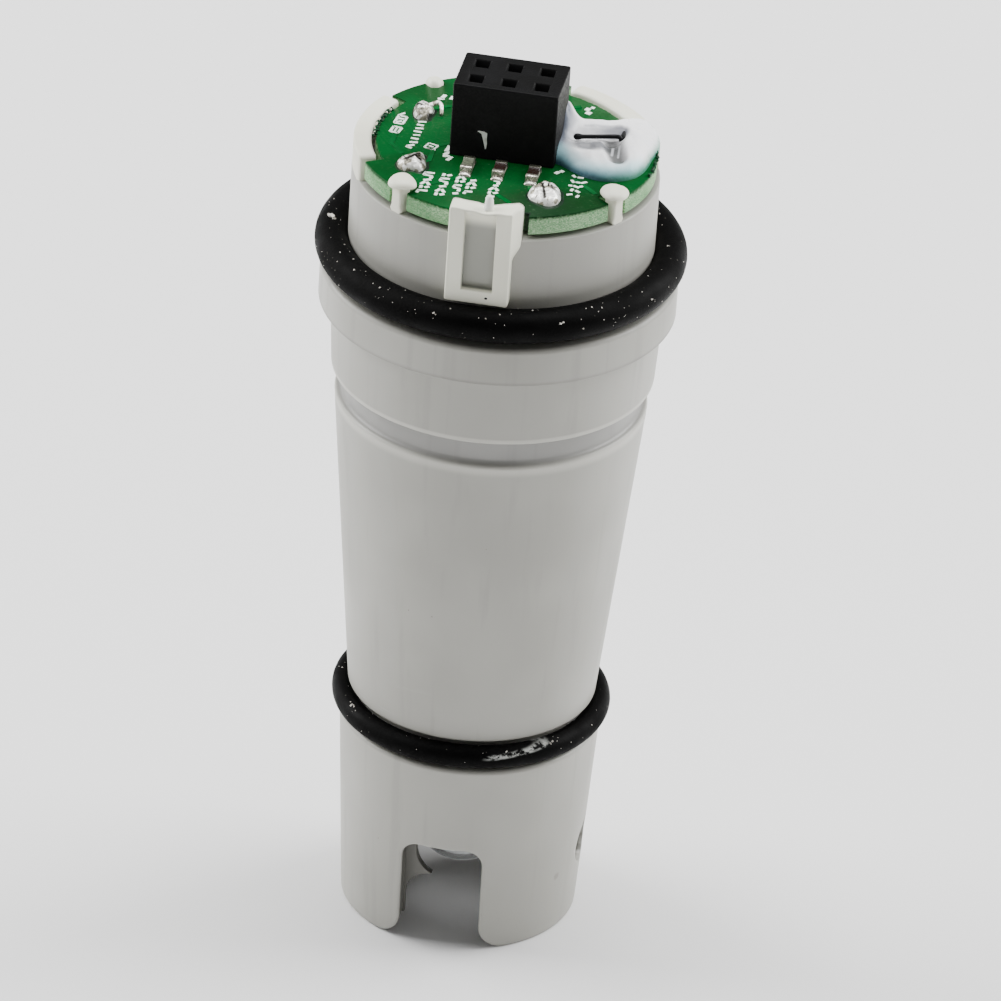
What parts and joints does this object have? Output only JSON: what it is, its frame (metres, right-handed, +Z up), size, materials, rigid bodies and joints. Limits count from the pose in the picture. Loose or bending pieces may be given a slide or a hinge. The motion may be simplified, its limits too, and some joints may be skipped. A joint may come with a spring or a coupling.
{
  "type": "ph electrode",
  "caption": "Plug-in pH electrode with a tapered body, two O-rings, a circuit board with a socket on top and a slotted guard round the glass bulb.",
  "frame": {"origin": "on the electrode's axis, level with the tips of the guard, on which it stands", "axes": "+Z up the axis towards the socket, X along the socket's long side, -Y towards the locating key on the collar"},
  "size_m": [0.0226, 0.0226, 0.0575],
  "materials": {
    "moulding": "light grey moulded plastic, satin",
    "ring_rubber": "black nitrile rubber, lightly greased and dusty",
    "board_laminate": "green solder mask on glass-fibre laminate",
    "socket_black": "black moulded plastic",
    "plated_contact": "plated spring alloy",
    "chip_ceramic": "dark coated ceramic with tinned ends",
    "solder": "bright solder",
    "silicone": "translucent white silicone",
    "silver_wire": "drawn silver wire",
    "sensing_glass": "clear thin glass",
    "seal_rubber": "dark grey rubber",
    "porous_ceramic": "unglazed white ceramic",
    "sensor_sleeve": "dark grey sleeve"
  },
  "bodies": {
    "root": {"body": "moulding", "upper_o_ring": "ring_rubber", "lower_o_ring": "ring_rubber", "circuit_board": "board_laminate", "socket_housing": "socket_black", "socket_contact_1": "plated_contact", "socket_contact_2": "plated_contact", "socket_contact_3": "plated_contact", "socket_contact_4": "plated_contact", "socket_contact_5": "plated_contact", "socket_contact_6": "plated_contact", "chip_resistor_1": "chip_ceramic", "chip_resistor_2": "chip_ceramic", "chip_resistor_3": "chip_ceramic", "solder_joint_1": "solder", "solder_joint_2": "solder", "solder_joint_3": "solder", "silicone_seal": "silicone", "signal_wire": "silver_wire", "glass_electrode": "sensing_glass", "tube_stopper": "seal_rubber", "stem_seal": "seal_rubber", "top_plug": "seal_rubber", "reference_wire": "silver_wire", "junction_plug": "porous_ceramic", "temperature_sensor": "sensor_sleeve", "sensor_lead_1": "silver_wire", "sensor_lead_2": "silver_wire"}
  },
  "joints": []
}
